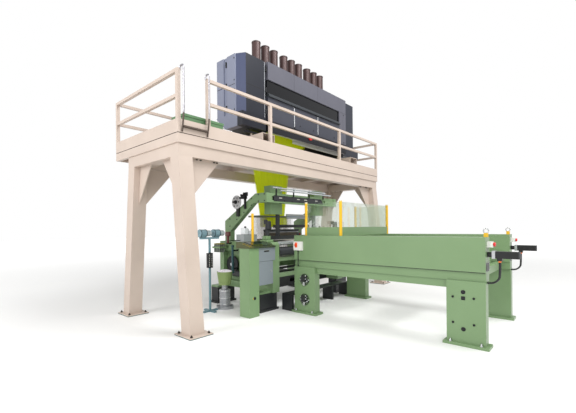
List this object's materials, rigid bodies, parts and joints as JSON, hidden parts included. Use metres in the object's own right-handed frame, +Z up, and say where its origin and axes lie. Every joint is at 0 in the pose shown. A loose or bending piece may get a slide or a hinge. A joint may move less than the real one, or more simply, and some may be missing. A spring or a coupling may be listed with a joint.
{
  "type": "power loom",
  "caption": "Wide power loom under a walk-on gantry that carries its thread-lifting head, with operator console and a long cloth take-off bench.",
  "frame": {"origin": "on the floor, under the middle of the whole installation's box", "axes": "+X along the weft towards the far portal, +Y from the take-off bench towards the warp's entry, +Z up"},
  "size_m": [6.91, 6.57, 6.13],
  "materials": {
    "gantry_paint": "satin beige paint",
    "machine_green": "gloss sage green paint",
    "box_green": "satin green paint",
    "head_slate": "satin slate paint",
    "head_blue": "satin blue-grey paint",
    "head_grey": "satin mid grey paint",
    "tinted_window": "dark tinted glazing",
    "module_black": "black",
    "pipe_brown": "dark brown",
    "stop_red": "red",
    "cord_yellow": "bright yellow-green braided cord",
    "heddle_steel": "fine steel wire",
    "loom_black": "satin black",
    "bright_steel": "turned steel",
    "roller_rubber": "black rubber",
    "yarn": "white yarn and cloth",
    "carrier_black": "black",
    "reel_grey": "light grey",
    "carriage_steel": "dark grey",
    "motor_black": "satin black",
    "hose_black": "black hose",
    "switch_white": "light grey plastic",
    "knob_red": "orange red",
    "post_yellow": "gloss yellow",
    "screen_clear": "clear green-tinted sheet",
    "desk_dark": "dark console top",
    "key_black": "black",
    "door_grey": "blue-grey paint",
    "feeder_blue": "light blue and teal paint",
    "vacuum_grey": "grey metal with a green bin"
  },
  "bodies": {
    "frame": {"portal_left": "gantry_paint", "portal_right": "gantry_paint", "deck": "gantry_paint", "edge_boards": "gantry_paint", "railing_front": "gantry_paint", "railing_back": "gantry_paint", "head_sills": "gantry_paint", "side_frame_left": "machine_green", "side_frame_right": "machine_green", "top_beam": "machine_green", "cross_rails": "machine_green", "bench_beams": "machine_green", "bench_legs": "machine_green", "guard_kick_panels": "machine_green", "console_body": "machine_green", "deck_box": "box_green", "head_casing": "head_slate", "head_panels": "head_slate", "head_right_cabinet": "head_slate", "head_left_cabinet": "head_blue", "head_fascia": "head_grey", "head_window": "tinted_window", "lifting_modules": "module_black", "exhaust_pipes": "pipe_brown", "lifting_cords": "cord_yellow", "heddles": "heddle_steel", "loom_feet": "loom_black", "main_drive": "loom_black", "front_step": "loom_black", "temple_bar": "loom_black", "breast_tube": "bright_steel", "warp_and_cloth": "yarn", "carrier_housings": "carrier_black", "servo_motors": "motor_black", "air_valves": "motor_black", "motor_hose_left_inner": "hose_black", "motor_hose_left_outer": "hose_black", "motor_hose_right_inner": "hose_black", "motor_hose_right_outer": "hose_black", "switch_boxes": "switch_white", "posts_and_eyes": "post_yellow", "guard_screens": "screen_clear", "console_desk": "desk_dark", "weft_feeders": "feeder_blue", "waste_vacuum": "vacuum_grey"},
    "head_door": {"head_left_door": "head_blue"},
    "head_stop": {"head_stop_button": "stop_red"},
    "stop_left": {"bench_stop_left": "stop_red"},
    "stop_right": {"bench_stop_right": "stop_red"},
    "key_1": {"console_key_1": "key_black"},
    "key_2": {"console_key_2": "key_black"},
    "key_3": {"console_key_3": "key_black"},
    "cabinet_door": {"console_door": "door_grey"},
    "drawer": {"console_drawer": "door_grey"},
    "knob": {"switch_knob": "knob_red"},
    "reel": {"selvedge_reel": "reel_grey"},
    "cloth_roll": {"cloth_roller": "roller_rubber"},
    "back_roll": {"back_roller": "bright_steel"},
    "sley": {"sley_with_reed": "bright_steel"},
    "carrier_left": {"weft_carrier_left": "carrier_black"},
    "carrier_right": {"weft_carrier_right": "carrier_black"},
    "carriage": {"clamp_carriage": "carriage_steel"}
  },
  "joints": [
    {"name": "head_door_hinge", "type": "hinge", "parent": "frame", "child": "head_door", "pos_m": [-1.688, 1.835, 4.7475], "axis": [0, 0, -1], "range_deg": [0, 100]},
    {"name": "head_stop_press", "type": "slide", "parent": "frame", "child": "head_stop", "axis": [0, 1, 0], "range_m": [0, 0.006], "stiffness_N_per_m": 900, "springref_m": -0.006},
    {"name": "stop_left_press", "type": "slide", "parent": "frame", "child": "stop_left", "axis": [0, 1, 0], "range_m": [0, 0.006], "stiffness_N_per_m": 900, "springref_m": -0.006},
    {"name": "stop_right_press", "type": "slide", "parent": "frame", "child": "stop_right", "axis": [0, 1, 0], "range_m": [0, 0.006], "stiffness_N_per_m": 900, "springref_m": -0.006},
    {"name": "key_1_press", "type": "slide", "parent": "frame", "child": "key_1", "axis": [0, 0, -1], "range_m": [0, 0.004], "stiffness_N_per_m": 900, "springref_m": -0.006},
    {"name": "key_2_press", "type": "slide", "parent": "frame", "child": "key_2", "axis": [0, 0, -1], "range_m": [0, 0.004], "stiffness_N_per_m": 900, "springref_m": -0.006},
    {"name": "key_3_press", "type": "slide", "parent": "frame", "child": "key_3", "axis": [0, 0, -1], "range_m": [0, 0.004], "stiffness_N_per_m": 900, "springref_m": -0.006},
    {"name": "cabinet_door_hinge", "type": "hinge", "parent": "frame", "child": "cabinet_door", "pos_m": [-1.776, 0.8077, 0.81], "axis": [0, 0, -1], "range_deg": [0, 110]},
    {"name": "drawer_slide", "type": "slide", "parent": "frame", "child": "drawer", "axis": [0, -1, 0], "range_m": [0, 0.16]},
    {"name": "knob_turn", "type": "hinge", "parent": "frame", "child": "knob", "pos_m": [-1.12, 0.425, 1.35], "axis": [1, 0, 0], "range_deg": [0, 90]},
    {"name": "reel_spin", "type": "hinge", "parent": "frame", "child": "reel", "pos_m": [-1.375, 1.945, 2.28], "axis": [1, 0, 0], "continuous": true},
    {"name": "cloth_roll_spin", "type": "hinge", "parent": "frame", "child": "cloth_roll", "pos_m": [0, 1.015, 1.19], "axis": [1, 0, 0], "continuous": true},
    {"name": "back_roll_spin", "type": "hinge", "parent": "frame", "child": "back_roll", "pos_m": [0, 2.555, 1.351], "axis": [1, 0, 0], "continuous": true},
    {"name": "sley_beat", "type": "hinge", "parent": "frame", "child": "sley", "pos_m": [0, 1.825, 0.7], "axis": [1, 0, 0], "range_deg": [0, 8]},
    {"name": "carrier_left_run", "type": "slide", "parent": "frame", "child": "carrier_left", "axis": [1, 0, 0], "range_m": [0, 0.66]},
    {"name": "carrier_right_run", "type": "slide", "parent": "frame", "child": "carrier_right", "axis": [-1, 0, 0], "range_m": [0, 0.66]},
    {"name": "carriage_run", "type": "slide", "parent": "frame", "child": "carriage", "axis": [0, 1, 0], "range_m": [-1.1, 1.6]}
  ],
  "couplings": [
    {"joint": "carrier_left_run", "follows": "carrier_right_run", "ratio": 1}
  ]
}
